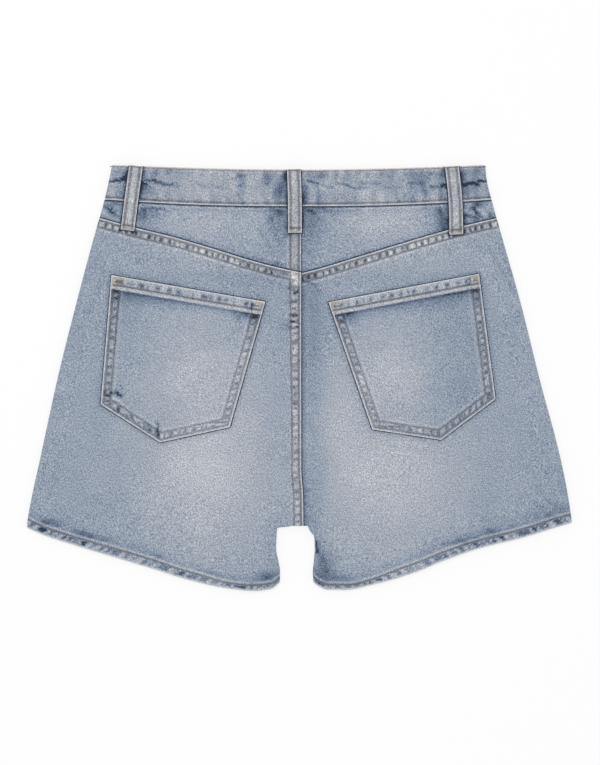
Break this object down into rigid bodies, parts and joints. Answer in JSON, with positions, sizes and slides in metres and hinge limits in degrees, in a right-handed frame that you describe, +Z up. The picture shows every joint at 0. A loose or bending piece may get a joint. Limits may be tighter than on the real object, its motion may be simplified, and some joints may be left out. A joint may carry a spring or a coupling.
{
  "type": "denim shorts",
  "caption": "Denim shorts laid flat, back side up: buttoned waistband with belt loops, shaped yokes, seat panels with patch pockets and turned leg hems.",
  "frame": {"origin": "under the middle of the laid garment, on the surface it rests on", "axes": "+Y towards the waist, +X towards the wearer's right, +Z up off the surface, out of the garment's back"},
  "size_m": [0.5452, 0.4256, 0.0112],
  "materials": {
    "denim": "washed light blue cotton twill, matt",
    "zip_tape": "woven tape, matt",
    "copper": "aged copper, satin"
  },
  "bodies": {
    "root": {"waistband": "denim", "yoke_left": "denim", "yoke_right": "denim", "back_left": "denim", "back_right": "denim", "front_left": "denim", "front_right": "denim", "pocket_left": "denim", "pocket_right": "denim", "loop_left": "denim", "loop_centre": "denim", "loop_right": "denim", "fly_shield": "denim", "fly_zip": "zip_tape", "button": "copper"}
  },
  "joints": []
}
